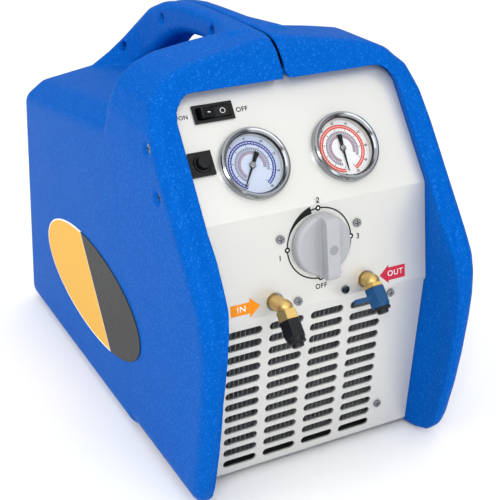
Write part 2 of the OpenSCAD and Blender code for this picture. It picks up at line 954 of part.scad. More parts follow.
module compressor_body() {
    color("#3d4045")
        difference() {
            union() {
                translate([0, comp_y - 65, comp_z])
                    rotate([-90, 0, 0])
                        cylinder(r = motor_r, h = 78, $fn = 64);
                translate([-38, comp_y + 20, comp_z - 44])
                    cube([76, 56, 84]);
                translate([-64, comp_y - 70, comp_z - motor_r - 4])
                    cube([128, 140, 8]);
            }
            translate([0, comp_y + 48, 0])
                disc(20, comp_z, 300);
        }
}

module compressor_cylinder() {
    color("#a4a8ac")
        translate([0, comp_y + 48, comp_z + 40])
            difference() {
                union() {
                    disc(24, 0, 50);
                    for (i = [0:5])
                        disc(33, 4 + 8 * i, 7 + 8 * i);
                }
                disc(20, -9, 60);
            }
}

module compressor_head() {
    color("#8b8f94")
        translate([0, comp_y + 48, comp_z + 90]) {
            disc(33, 0, 12);
            disc(24, 11, 18);
        }
}

module compressor_mounts() {
    color("#1c1d1f")
        for (p = comp_mount)
            translate([p[0], p[1], 0])
                disc(10, base_top, comp_z - motor_r - 4);
}

cap_at = [40 - half_w, 60];

module capacitor() {
    color("#9fa3a8")
        translate([cap_at[0], cap_at[1], 0]) {
            disc(18, base_top, 92);
            disc(14, 91, 96);
        }
}

module capacitor_clamp() {
    color("#8d9196")
        difference() {
            translate([cap_at[0], cap_at[1], 0]) {
                disc(20, base_top, 40);
                translate([-8, -30, base_top])
                    cube([16, 60, 2]);
            }
            translate([cap_at[0], cap_at[1], 0])
                disc(18 + fit, 0, 60);
        }
}

module pressure_switch() {
    color("#c39a45")
        on_mid(0, 24) {
            disc(7, -man_d - 8, -man_d);
            disc(11, -man_d - 22, -man_d - 7);
        }
}

// points given in the frames of the panels, for the tubes
function up_pt(x, h, z) = [x, crease_y + h * sin(upper_lean) - z * cos(upper_lean),
    crease_z + h * cos(upper_lean) + z * sin(upper_lean)];
function mid_pt(x, s, z) = [x, lip_y + s * sin(mid_lean) - z * cos(mid_lean),
    lip_z + s * cos(mid_lean) + z * sin(mid_lean)];
function coil_pt(x, a, z) = [x, grille_y - a * sin(grille_lean) - z * cos(grille_lean),
    grille_z + a * cos(grille_lean) - z * sin(grille_lean)];
head_top = comp_z + 108;
coil_in = tube_at(0, 1);
coil_out = tube_at(tube_rows - 1, 0);
coil_x = -con_hw - 4;

module suction_tube() {
    color("#b87344")
        pipe([mid_pt(30, 30, -man_d), mid_pt(30, 30, -man_d - 24), [30, 40, head_top + 21],
            [16, comp_y + 48, head_top + 16], [16, comp_y + 48, head_top]], 4);
}

module discharge_tube() {
    color("#b87344")
        pipe([[-14, comp_y + 48, head_top], [-14, comp_y + 48, head_top + 30], [28 - half_w, 40, head_top + 20],
            [26 - half_w, -90, 170], coil_pt(coil_x - 14, coil_in[0], coil_in[1]),
            coil_pt(coil_x, coil_in[0], coil_in[1])], 4);
}

module liquid_tube() {
    color("#b87344")
        pipe([coil_pt(coil_x, coil_out[0], coil_out[1]), coil_pt(coil_x - 12, coil_out[0], coil_out[1]),
            [24 - half_w, -146, 22], [14 - half_w, -116, 50], [16 - half_w, -114, 160],
            mid_pt(-82, 12, -22), mid_pt(-57, 12, -22)], 4);
}

module gauge_tubes() {
    color("#b87344")
        for (g = [[low_x, -38], [high_x, 38]])
            pipe([up_pt(g[0], gauge_h, -36), up_pt(g[0], gauge_h, -46), mid_pt(g[1], 52, -man_d - 14),
                mid_pt(g[1], 52, -man_d)], 1.6);
}

module mains_inlet() {
    color("#17181a")
        on_rear(-48, 56)
            difference() {
                union() {
                    slab(31, 28, -wall, -wall + 3);
                    slab(27.4, 24, -24, -wall + 1);
                }
                slab(24, 16.5, -18, 9);
            }
}

module mains_pins() {
    color("#c8cacc")
        on_rear(-48, 56)
            for (p = [[-7, -2], [0, 3], [7, -2]])
                translate([p[0], p[1], 0])
                    slab(2, 4, -18, -wall - 1);
}

left_shell();
right_shell();
control_panel();
grille_panel();
base_plate();
rear_panel();
rubber_feet();
panel_screws();
manifold_screws();
shell_screws();
rear_screws();
low_case();
low_bezel();
low_dial();
low_needle();
low_lens();
low_movement();
high_case();
high_bezel();
high_dial();
high_needle();
high_lens();
high_movement();
valve_knob();
knob_plug();
valve_stem();
valve_manifold();
switch_housing();
switch_rocker();
breaker_housing();
breaker_button();
inlet_fitting();
inlet_cap();
outlet_fitting();
outlet_cap();
condenser_fins();
condenser_tubes();
condenser_plates();
fan_shroud();
fan_rotor();
fan_motor();
fan_bracket();
compressor_body();
compressor_cylinder();
compressor_head();
compressor_mounts();
capacitor();
capacitor_clamp();
pressure_switch();
suction_tube();
discharge_tube();
liquid_tube();
gauge_tubes();
mains_inlet();
mains_pins();
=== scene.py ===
"""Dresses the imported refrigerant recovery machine: soft moulded shell, printed panel, dials and studio."""
import json
import math

import bpy
from mathutils import Matrix, Vector


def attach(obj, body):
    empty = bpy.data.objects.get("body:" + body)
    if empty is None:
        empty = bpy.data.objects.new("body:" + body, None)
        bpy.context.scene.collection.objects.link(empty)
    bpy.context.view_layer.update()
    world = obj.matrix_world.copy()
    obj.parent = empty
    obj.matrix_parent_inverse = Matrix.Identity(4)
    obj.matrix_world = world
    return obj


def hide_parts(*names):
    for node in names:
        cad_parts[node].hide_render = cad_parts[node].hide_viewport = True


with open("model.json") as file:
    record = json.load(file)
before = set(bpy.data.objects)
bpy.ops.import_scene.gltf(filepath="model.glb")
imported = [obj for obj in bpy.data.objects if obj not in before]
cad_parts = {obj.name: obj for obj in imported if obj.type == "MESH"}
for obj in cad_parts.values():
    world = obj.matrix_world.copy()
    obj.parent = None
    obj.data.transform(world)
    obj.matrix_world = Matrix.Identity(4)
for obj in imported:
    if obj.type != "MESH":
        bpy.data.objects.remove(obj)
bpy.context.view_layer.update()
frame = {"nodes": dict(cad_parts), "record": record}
NODES = frame["nodes"]

bl_info = {
    "name": "Refrigerant recovery machine",
    "version": (1, 0, 0),
    "blender": (4, 5, 0),
    "location": "View3D > Sidebar > Recovery",
    "description": "Finishes, prints and stage for a portable refrigerant recovery machine",
    "category": "Object",
}

MM = 0.001


def face_frame(y, z, lean):
    """A leaning panel's own frame: x across, y up the face, z out of it, in millimetres."""
    a = math.radians(lean)
    turn = Matrix(((1, 0, 0), (0, math.sin(a), -math.cos(a)), (0, math.cos(a), math.sin(a)))).to_4x4()
    return Matrix.Translation((0, y * MM, z * MM)) @ turn @ Matrix.Scale(MM, 4)


# The panels as the solids have them: lower edge in depth and height, and lean.
LOWER_PANEL = face_frame(-195.704, 163.605, 7)
UPPER_PANEL = face_frame(-185.528, 246.483, 36.5)
# The shell's left side: x to the front, y up, z out of it.
LEFT_SIDE = Matrix(((0, 0, -1, -126 * MM), (-1, 0, 0, 0), (0, 1, 0, 0), (0, 0, 0, 1))) @ Matrix.Scale(MM, 4)
# Where things stand on the panels, across and up the face, in millimetres.
GAUGE_X = {"low": -44.6, "high": 38.6}
GAUGE_H = 41.4
KNOB_S = 50.6
PORT_X, PORT_S = 43.3, 10
SWITCH_X, SWITCH_H = -66.1, 88
# Levels in a gauge, out of the panel's face.
DIAL_Z, TAIL_Z, SPINDLE_END_Z, GLASS_Z = -3.2, -2.3, -0.8, 3.6
# The knob's printed ring, and its four marks in degrees clockwise from straight up.
RING_R = 29.6
KNOB_MARKS = (180, 270, 0, 90)
# How far the rocker's faces rise from its middle to its ends.
ROCKER_RISE = 2.7 / 11.9
# Area lights: name, place and width in metres, power in watts, and the point that they face.
LIGHTS = (("ceiling", (0, 0.2, 3.6), 9.5, 270), ("key", (-1.1, -1.7, 1.6), 0.4, 15),
          ("front", (0.3, -2.6, 1.3), 1.6, 24), ("side", (-2.6, -0.2, 1.2), 1.6, 22))
LIGHT_AIM = Vector((0, -0.1, 0.18))
# How far the front of the rim stands over the panels, by height: it is fuller at the top than at
# the feet, where it stands back.
RIM_SWELL = ((60, -5.6), (120, -5.2), (165, -2.4), (200, 1.8), (250, 4.2), (290, 5.0), (325, 5.5))


def linear(hex_value, alpha=1.0):
    """Turns an sRGB hex value such as 0A5FD0 into linear RGBA."""
    parts = [int(hex_value[i:i + 2], 16) / 255 for i in (0, 2, 4)]
    return tuple(c / 12.92 if c <= 0.04045 else ((c + 0.055) / 1.055) ** 2.4 for c in parts) + (alpha,)


def colour(name, default, words):
    """A colour property with its default as sRGB hex."""
    return bpy.props.FloatVectorProperty(name=name, description=words, subtype="COLOR", size=4, min=0, max=1,
                                         default=linear(default))


def size(name, default, words):
    """A length property in millimetres."""
    return bpy.props.FloatProperty(name=name, description=words, default=default, min=0)


class ShellSettings(bpy.types.PropertyGroup):
    """The moulded shell."""

    blue: colour("Shell blue", "0052AA", "Colour of the moulded shell")
    # painted highlight: the lighter blue of the specks stands in for glints of light on the grain
    painted_glint: colour("Shell speck", "1E70D0", "Bright specks on the tops of the moulded grain")
    grain: size("Grain", 1.9, "Pebble size of the moulded grain, in millimetres")
    voxel: size("Voxel", 1.5, "Voxel of the softened shell, in millimetres")
    label_yellow: colour("Label yellow", "DFAA3C", "Rear part of the oval label")
    label_grey: colour("Label grey", "2E2E2D", "Front part of the oval label")


class PanelSettings(bpy.types.PropertyGroup):
    """Sheet panels, prints and dials."""

    sheet: colour("Sheet", "CBCBC8", "Brushed sheet of the panels")
    ink: colour("Ink", "1B1C1F", "Dark print")
    inward: colour("Inlet arrow", "E4870F", "Arrow at the inlet")
    outward: colour("Outlet arrow", "B8263F", "Arrow at the outlet")
    low_scale: colour("Low scale", "27318C", "Scale of the low gauge")
    high_scale: colour("High scale", "D8392F", "Scale of the high gauge")


class StageSettings(bpy.types.PropertyGroup):
    """Camera and light."""

    lens: bpy.props.FloatProperty(name="Lens", description="Focal length on a 36 mm sensor", default=78.07,
                                  unit="CAMERA")
    floor: colour("Floor", "F2F2F1", "Floor colour")


def add(tree, kind, links=(), **settings):
    """Adds a node; settings are its properties or input values, links are (input, socket) pairs."""
    made = tree.nodes.new(kind)
    for name, value in settings.items():
        if hasattr(made, name):
            setattr(made, name, value)
        else:
            made.inputs[name.replace("_", " ")].default_value = value
    for name, socket in links:
        tree.links.new(socket, made.inputs[name])
    return made


def start_material(name, base, **sockets):
    """A material with its Principled shader, whose plain sockets are set here."""
    made = bpy.data.materials.new(name)
    made.use_nodes = True
    tree = made.node_tree
    shader = tree.nodes["Principled BSDF"]
    shader.inputs["Base Color"].default_value = linear(base) if isinstance(base, str) else tuple(base)
    for key, value in sockets.items():
        shader.inputs[key.replace("_", " ")].default_value = value
    return made, tree, shader


def moulded_plastic(name, base, grain=1.9, depth=0.3, roughness=0.42, gloss=0.2, painted_glint=None):
    """Moulded ABS with the tool's pebble texture; the small bright specks on it are a painted highlight, a lighter
    base colour standing in for glints of the gloss.
    """
    made, tree, shader = start_material(name, base, Roughness=roughness, IOR=1.54, Specular_IOR_Level=gloss)
    place = add(tree, "ShaderNodeTexCoord")
    pebble = add(tree, "ShaderNodeTexVoronoi", [("Vector", place.outputs["Object"])],
                 Scale=1 / (grain * MM), feature="SMOOTH_F1", Smoothness=0.5)
    bump = add(tree, "ShaderNodeBump", [("Height", pebble.outputs["Distance"])], Strength=depth, Distance=0.35 * MM)
    cloud = add(tree, "ShaderNodeTexNoise", [("Vector", place.outputs["Object"])], Scale=1 / (30 * MM), Detail=2.0)
    polish = add(tree, "ShaderNodeMapRange", [("Value", cloud.outputs["Fac"])],
                 To_Min=roughness * 0.88, To_Max=roughness * 1.12)
    tree.links.new(bump.outputs["Normal"], shader.inputs["Normal"])
    tree.links.new(polish.outputs["Result"], shader.inputs["Roughness"])
    # painted highlight: scattered grain cells get a lighter base colour in place of glints of light
    if painted_glint is not None:
        tops = add(tree, "ShaderNodeTexVoronoi", [("Vector", place.outputs["Object"])], Scale=1 / (0.55 * grain * MM))
        shade = add(tree, "ShaderNodeValToRGB", [("Fac", tops.outputs["Color"])])
        shade.color_ramp.elements[0].position = 0.7
        shade.color_ramp.elements[0].color = tuple(base)
        shade.color_ramp.elements[1].position = 1.0
        shade.color_ramp.elements[1].color = tuple(painted_glint)
        tree.links.new(shade.outputs["Color"], shader.inputs["Base Color"])
    return made


def worked_metal(name, base, roughness, grit=(8, 8, 8), bump_depth=0.0, metallic=1.0):
    """A metal whose polish varies in marks of the given size in millimetres, long in one way where it was brushed."""
    made, tree, shader = start_material(name, base, Metallic=metallic, Roughness=roughness,
                                        Specular_IOR_Level=0.5 if metallic else 0.25)
    place = add(tree, "ShaderNodeTexCoord")
    stretch = add(tree, "ShaderNodeMapping", [("Vector", place.outputs["Object"])],
                  Scale=tuple(1 / (g * MM) for g in grit))
    marks = add(tree, "ShaderNodeTexNoise", [("Vector", stretch.outputs["Vector"])], Scale=1.0, Detail=3.0)
    polish = add(tree, "ShaderNodeMapRange", [("Value", marks.outputs["Fac"])],
                 To_Min=roughness * 0.75, To_Max=roughness * 1.25)
    tree.links.new(polish.outputs["Result"], shader.inputs["Roughness"])
    if bump_depth:
        bump = add(tree, "ShaderNodeBump", [("Height", marks.outputs["Fac"])], Strength=bump_depth, Distance=0.05 * MM)
        tree.links.new(bump.outputs["Normal"], shader.inputs["Normal"])
    return made


def ink(name, base):
    """Screen-printed ink: flat and a little uneven in its gloss."""
    made, tree, shader = start_material(name, base, Roughness=0.5, Specular_IOR_Level=0.2)
    place = add(tree, "ShaderNodeTexCoord")
    cloud = add(tree, "ShaderNodeTexNoise", [("Vector", place.outputs["Object"])], Scale=1 / (3 * MM))
    polish = add(tree, "ShaderNodeMapRange", [("Value", cloud.outputs["Fac"])], To_Min=0.42, To_Max=0.58)
    tree.links.new(polish.outputs["Result"], shader.inputs["Roughness"])
    return made


def only(obj):
    """Leaves this object as the one selected and active."""
    bpy.ops.object.select_all(action="DESELECT")
    obj.select_set(True)
    bpy.context.view_layer.objects.active = obj


def apply_modifiers(obj):
    """Turns an object's modifiers into its own mesh, in their order."""
    only(obj)
    for step in list(obj.modifiers):
        bpy.ops.object.modifier_apply(modifier=step.name)


def paint(obj, finish):
    """Leaves a finish as an object's one material."""
    obj.data.materials.clear()
    obj.data.materials.append(finish)


def soften(node, name, voxel, body, finish, smooth=6, keep=1.0, notch=None, lip=None, core=None):
    """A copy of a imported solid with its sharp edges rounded, as a mould leaves them; it stands for the solid."""
    only(NODES[node])
    bpy.ops.object.duplicate()
    copy = bpy.context.active_object
    copy.name = name
    copy.data.name = name
    for key in [k for k in copy.keys() if k.startswith("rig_")]:
        del copy[key]
    if core is not None:
        core.select_set(True)
        bpy.ops.object.join()
    bpy.ops.object.mode_set(mode="EDIT")
    bpy.ops.mesh.select_all(action="SELECT")
    bpy.ops.mesh.remove_doubles(threshold=0.00001)
    bpy.ops.object.mode_set(mode="OBJECT")
    if notch is not None:
        cut = copy.modifiers.new("notch", "BOOLEAN")
        cut.object = notch
    remesh = copy.modifiers.new("remesh", "REMESH")
    remesh.mode = "VOXEL"
    remesh.voxel_size = voxel * MM
    ease = copy.modifiers.new("ease", "SMOOTH")
    ease.factor = 0.5
    ease.iterations = smooth
    if lip is not None:
        apply_modifiers(copy)
        skin = copy.vertex_groups.new(name="skin")
        for corner in copy.data.vertices:
            skin.add([corner.index], lip(corner), "REPLACE")
        flow = copy.modifiers.new("flow", "SMOOTH")
        flow.factor = 0.5
        flow.iterations = 14
        flow.vertex_group = "skin"
    if keep < 1:
        thin = copy.modifiers.new("thin", "DECIMATE")
        thin.ratio = keep
    apply_modifiers(copy)
    bpy.ops.object.shade_smooth()
    paint(copy, finish)
    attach(copy, body)
    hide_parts(node)
    return copy


def share(value):
    """Holds a value between 0 and 1."""
    return min(1, max(0, value))


def panel_depth(z):
    """Depth of the panels' faces at a height, both in millimetres: grille, lower panel and upper panel."""
    if z > 246.48:
        return -185.53 + 0.74 * (z - 246.48)
    if z > 163.6:
        return -195.7 + 0.1228 * (z - 163.6)
    return -193 - 0.0928 * (z - 150.7)


def bent_grid(steps, rows, shape):
    """A flat sheet of faces whose corners (u, v) from 0 to 1 are put at shape(u, v), in millimetres."""
    bpy.ops.object.select_all(action="DESELECT")
    bpy.ops.mesh.primitive_grid_add(x_subdivisions=steps, y_subdivisions=rows, size=1)
    sheet = bpy.context.active_object
    for corner in sheet.data.vertices:
        x, y = shape(corner.co.x + 0.5, corner.co.y + 0.5)
        corner.co = (x, y, 0)
    return sheet


def polar(r, clock):
    """A point at radius r, at an angle in degrees clockwise from straight up."""
    a = math.radians(clock)
    return r * math.sin(a), r * math.cos(a)


def arc(r, width, start, sweep, centre=(0, 0)):
    """A printed arc, clockwise from an angle counted from straight up."""
    def place(u, v):
        x, y = polar(r + (v - 0.5) * width, start + u * sweep)
        return x + centre[0], y + centre[1]

    return bent_grid(max(8, int(sweep / 4)), 1, place)


def tick(r0, r1, width, clock, centre=(0, 0)):
    """A short radial stroke of a scale."""
    def place(u, v):
        x, y = polar(r0 + u * (r1 - r0), clock)
        a = math.radians(clock)
        return x + (v - 0.5) * width * math.cos(a) + centre[0], y - (v - 0.5) * width * math.sin(a) + centre[1]

    return bent_grid(1, 1, place)


def bar(x0, x1, y0, y1):
    """A printed rectangle."""
    return bent_grid(1, 1, lambda u, v: (x0 + u * (x1 - x0), y0 + v * (y1 - y0)))


def word(body, height, x, y, bold=0.1, spread=1.1):
    """Plain lettering, centred on a point."""
    bpy.ops.object.select_all(action="DESELECT")
    bpy.ops.object.text_add()
    text = bpy.context.active_object
    text.data.body = body
    text.data.size = height * 1.42
    text.data.align_x = "CENTER"
    text.data.align_y = "CENTER"
    text.data.offset = bold
    text.data.space_character = spread
    text.data.resolution_u = 3
    bpy.ops.object.convert(target="MESH")
    text = bpy.context.active_object
    for corner in text.data.vertices:
        corner.co = (corner.co.x + x, corner.co.y + y, 0)
    return text


def print_on(panel, name, parts, finish, body="machine", lift=0.02, thick=0.12):
    """Joins flat parts into one thin print that lies on a panel and moves with its body."""
    bpy.ops.object.select_all(action="DESELECT")
    for part in parts:
        part.select_set(True)
    bpy.context.view_layer.objects.active = parts[0]
    if len(parts) > 1:
        bpy.ops.object.join()
    made = bpy.context.active_object
    made.name = name
    made.data.name = name
    bpy.ops.object.mode_set(mode="EDIT")
    bpy.ops.mesh.select_all(action="SELECT")
    bpy.ops.mesh.extrude_region_move(TRANSFORM_OT_translate={"value": (0, 0, thick)})
    bpy.ops.mesh.select_all(action="SELECT")
    bpy.ops.mesh.normals_make_consistent(inside=False)
    bpy.ops.object.mode_set(mode="OBJECT")
    made.matrix_world = panel @ Matrix.Translation((0, 0, lift))
    bpy.ops.object.transform_apply(location=True, rotation=True, scale=True)
    paint(made, finish)
    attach(made, body)
    return made


class RECOVERY_OT_finishes(bpy.types.Operator):
    """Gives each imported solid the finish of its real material"""

    bl_idname = "recovery.finishes"
    bl_label = "Finishes"

    def execute(self, context):
        sheet = context.scene.recovery_panel.sheet
        made = {
            # rolled sheet, brushed along its length: soft wide reflections with fine lines
            "panel_sheet": worked_metal("brushed_panel_sheet", sheet, 0.36, (30, 0.7, 0.7), 0.12, 0.38),
            "grille_sheet": worked_metal("brushed_grille_sheet", sheet, 0.36, (30, 0.7, 0.7), 0.12, 0.38),
            # zinc plated steel: a greyish spangle
            "plated_steel": worked_metal("zinc_plated_steel", "9A9EA3", 0.42, (6, 6, 6), 0.1),
            # nickel plate on turned heads: small dark and bright reflections
            "screw_steel": worked_metal("nickel_plated_screw", "7F8286", 0.16, (1, 1, 1)),
            # moulded rubber: dull black
            "black_rubber": moulded_plastic("moulded_rubber", "17181A", 1.2, 0.2, 0.8),
            # stove enamel on the gauge cases: an even half gloss
            "gauge_black": worked_metal("black_enamelled_case", "1B1C1F", 0.4, (5, 5, 5), 0, 0.0),
            # polished chrome: sharp bands of the room
            "chrome_bezel": worked_metal("chromed_bezel", "93969A", 0.14, (4, 4, 4)),
            # enamelled sheet: a plain white ground with a dull gloss
            "dial_white": worked_metal("enamelled_dial", "EEF0F2", 0.45, (3, 3, 3), 0, 0.0),
            # matt enamel: the needles read as flat black
            "needle_black": worked_metal("black_needle_enamel", "060607", 0.5, (2, 2, 2), 0, 0.0),
            # turned brass, handled dull: a warm sheen with no mirror
            "brass": worked_metal("machined_brass", "CBAC69", 0.4, (2, 2, 2), 0.0, 0.8),
            # fine moulded ABS: smooth grey with a soft edge light
            "knob_grey": moulded_plastic("moulded_grey_abs", "A4A6A9", 1.2, 0.08, 0.36),
            "plug_grey": moulded_plastic("moulded_grey_plug", "8A8D91", 1.0, 0.08, 0.45),
            # cast and not machined: a grainy grey
            "cast_alloy": worked_metal("cast_aluminium", "A9ADB1", 0.48, (1.5, 1.5, 1.5), 0.25),
            # glossy moulded ABS: black with clear highlights
            "black_plastic": moulded_plastic("moulded_black_abs", "0C0D0F", 0.8, 0.06, 0.3),
            # moulded caps: a half gloss on flat sides
            "cap_black": moulded_plastic("moulded_black_cap", "121315", 0.9, 0.1, 0.4),
            "cap_blue": moulded_plastic("moulded_blue_cap", "124470", 0.9, 0.1, 0.4),
            # bare rolled fins: pale edges that show through the slots
            "fin_aluminium": worked_metal("bare_fin_aluminium", "A9ACAF", 0.45, (2, 2, 2), 0, 0.5),
            # drawn tube: clean warm copper
            "copper": worked_metal("drawn_copper_tube", "B5713F", 0.32, (4, 4, 4)),
            # sprayed paint on the motor and compressor: dark with a slight orange peel
            "motor_paint": worked_metal("dark_motor_paint", "3A3D41", 0.5, (1.2, 1.2, 1.2), 0.2, 0.0),
        }
        # flat clear glass: hardly seen but for its reflections
        glass, _, _ = start_material("clear_gauge_glass", "0A0C0E", Roughness=0.03, Alpha=0.06, IOR=1.5)
        made["gauge_glass"] = glass
        slot_of = {p["node"]: p["material_slot"] for p in frame["record"]["subparts"]}
        for name, node in NODES.items():
            if slot_of[name] in made:
                paint(node, made[slot_of[name]])
        # the condenser's tubes are given a dark, dull copper
        paint(NODES["condenser_tubes"], worked_metal("darkened_copper_tube", "46382F", 0.5, (4, 4, 4)))
        # the low gauge's dial is enamelled in a pale blue
        paint(NODES["low_dial"], worked_metal("pale_blue_enamelled_dial", "CBD7EC", 0.45, (3, 3, 3), 0, 0.0))
        return {"FINISHED"}


class RECOVERY_OT_shell(bpy.types.Operator):
    """Rounds the two moulded shell halves and gives them their grain, with painted highlight specks on it"""

    bl_idname = "recovery.shell"
    bl_label = "Shell"

    @staticmethod
    def lip(corner):
        """Swells the rim over the edge of the panels, and says how freely a corner may be smoothed."""
        x, y, z = (c / MM for c in corner.co)
        panel = panel_depth(z)
        # full 22 mm ahead of the panels, on the wall inside the rim, and gone at the hoop's crown
        ahead = share((panel - y) / 22)
        inner = share((114 - abs(x)) / 9) * share((abs(x) - 60) / 40)
        fade = share((346 - z) / 8)
        swell = RIM_SWELL[-1][1]
        for (z0, s0), (z1, s1) in zip(RIM_SWELL, RIM_SWELL[1:]):
            if z < z1:
                swell = s0 + (s1 - s0) * max(0, z - z0) / (z1 - z0)
                break
        corner.co.x -= math.copysign(1, x) * swell * ahead * inner * fade * MM
        return 0.2 if abs(x) < 109 and z < 342 and y < panel + 12 else 1.0

    def execute(self, context):
        settings = context.scene.recovery_shell
        # the speck colour paints small highlight glints into the blue
        plastic = moulded_plastic("pebbled_blue_abs", settings.blue, settings.grain, 0.45, 0.4, 0.015, settings.painted_glint)
        bpy.ops.object.select_all(action="DESELECT")
        bpy.ops.mesh.primitive_cylinder_add(vertices=3, radius=5 * MM, depth=0.12, location=(0, -0.15, 0.3359),
                                            rotation=(math.pi / 2, 0, 0))
        notch = context.active_object
        for side in ("left", "right"):
            half = soften(side + "_shell", "blue_shell_" + side, settings.voxel, "machine", plastic, 2, 0.4, notch,
                          self.lip)
        bpy.data.objects.remove(notch)
        return {"FINISHED"}


class RECOVERY_OT_small_mouldings(bpy.types.Operator):
    """Rounds the knob, caps, breaker and switch pieces, and ends the caps"""

    bl_idname = "recovery.small_mouldings"
    bl_label = "Small mouldings"

    def execute(self, context):
        for node, body, voxel, slot in (("valve_knob", "knob", 0.36, "knob_grey"),
                                        ("inlet_cap", "inlet_plug", 0.35, "cap_black"),
                                        ("outlet_cap", "outlet_plug", 0.35, "cap_blue"),
                                        ("breaker_housing", "machine", 0.4, "black_plastic"),
                                        ("breaker_button", "reset_button", 0.35, "black_plastic"),
                                        ("switch_housing", "machine", 0.4, "black_plastic"),
                                        ("switch_rocker", "rocker", 0.3, "black_plastic")):
            core = None
            if node == "valve_knob":
                # fills the stem's bore, which is wider than the foot of the grip
                bpy.ops.object.select_all(action="DESELECT")
                bpy.ops.mesh.primitive_cylinder_add(vertices=32, radius=4.15, depth=8.4)
                core = context.active_object
                core.matrix_world = LOWER_PANEL @ Matrix.Translation((0, KNOB_S, 12.8))
            piece = soften(node, "soft_" + node, voxel, body, NODES[node].data.materials[0], 2, core=core)
        # the moulded end of each cap, where its strap goes round: a lip and a boss
        for side, stub, hex_l in (("inlet", 16, 8), ("outlet", 8, 3)):
            x = -PORT_X if side == "inlet" else PORT_X
            end = (LOWER_PANEL @ Matrix.Translation((x, PORT_S, stub)) @ Matrix.Rotation(math.radians(52), 4, "X")
                   @ Matrix.Translation((0, 0, 21.4 + hex_l)))
            bpy.ops.object.select_all(action="DESELECT")
            bpy.ops.mesh.primitive_cylinder_add(vertices=40, radius=7.6, depth=1.8)
            boss = context.active_object
            boss.name = boss.data.name = side + "_cap_end"
            bpy.ops.object.mode_set(mode="EDIT")
            bpy.ops.mesh.select_all(action="DESELECT")
            bpy.ops.object.mode_set(mode="OBJECT")
            for face in boss.data.polygons:
                face.select = face.normal.z > 0.9
            bpy.ops.object.mode_set(mode="EDIT")
            bpy.ops.mesh.select_mode(type="FACE")
            bpy.ops.mesh.inset(thickness=2.8)
            bpy.ops.mesh.extrude_region_move(TRANSFORM_OT_translate={"value": (0, 0, 3)})
            bpy.ops.object.mode_set(mode="OBJECT")
            rounding = boss.modifiers.new("rounding", "BEVEL")
            rounding.width = 0.6
            rounding.segments = 3
            apply_modifiers(boss)
            bpy.ops.object.shade_smooth_by_angle(angle=0.6)
            boss.matrix_world = end
            bpy.ops.object.transform_apply(location=True, rotation=True, scale=True)
            paint(boss, NODES["inlet_cap"].data.materials[0])
            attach(boss, side + "_plug")
        return {"FINISHED"}


class RECOVERY_OT_side_label(bpy.types.Operator):
    """Makes the bare two-tone oval label on the left side"""

    bl_idname = "recovery.side_label"
    bl_label = "Side label"

    def oval(self, name, grow, cut, finish, lift):
        """One film of the label: an oval, larger by grow, kept on one side of a straight cut."""
        bpy.ops.object.select_all(action="DESELECT")
        bpy.ops.mesh.primitive_circle_add(vertices=96, radius=1, fill_type="NGON")
        plate = bpy.context.active_object
        bpy.ops.object.mode_set(mode="EDIT")
        bpy.ops.mesh.select_all(action="SELECT")
        bpy.ops.transform.resize(value=(125.5 + grow, 51 + grow, 1))
        bpy.ops.transform.translate(value=(-20, 110, 0))
        place, normal = cut
        bpy.ops.mesh.bisect(plane_co=place, plane_no=normal, use_fill=False, clear_outer=True)
        bpy.ops.object.mode_set(mode="OBJECT")
        return print_on(LEFT_SIDE, name, [plate], finish, lift=lift, thick=0.9)

    def execute(self, context):
        settings = context.scene.recovery_shell
        white = ink("label_film_white", "ECECE6")
        yellow = ink("label_film_yellow", settings.label_yellow)
        grey = ink("label_film_grey", settings.label_grey)
        top, low = Vector((-37, 159, 0)), Vector((33, 54, 0))
        run = (top - low).normalized()
        rearward = Vector((-run.y, run.x, 0))
        middle = (top + low) / 2
        self.oval("label_edge", 0, (middle - rearward * 1.2, -rearward), white, -0.25)
        self.oval("label_yellow", -1.6, (middle + rearward * 0.6, -rearward), yellow, -0.1)
        self.oval("label_grey", -0.4, (middle - rearward * 0.9, rearward), grey, -0.1)
        return {"FINISHED"}


class RECOVERY_OT_switch_marks(bpy.types.Operator):
    """Prints the dash and ring on the two faces of the rocker"""

    bl_idname = "recovery.switch_marks"
    bl_label = "Switch marks"

    def execute(self, context):
        pale = ink("white_pad_print", "E8E8E6")
        turn = Matrix.Rotation(math.radians(8), 4, "Y")
        rocker = UPPER_PANEL @ Matrix.Translation((SWITCH_X, SWITCH_H, -4)) @ turn
        for name, x, mark in (("dash", -6, bar(-1.4, 1.4, -0.3, 0.3)), ("ring", 6.5, arc(2.0, 0.36, 0, 360))):
            lean = Matrix.Rotation(math.copysign(math.atan(ROCKER_RISE), -x), 4, "Y")
            face = rocker @ Matrix.Translation((x, 0, 6.2 + abs(x) * ROCKER_RISE)) @ lean
            print_on(face, "rocker_" + name, [mark], pale, "rocker", 0.02, 0.25)
        return {"FINISHED"}


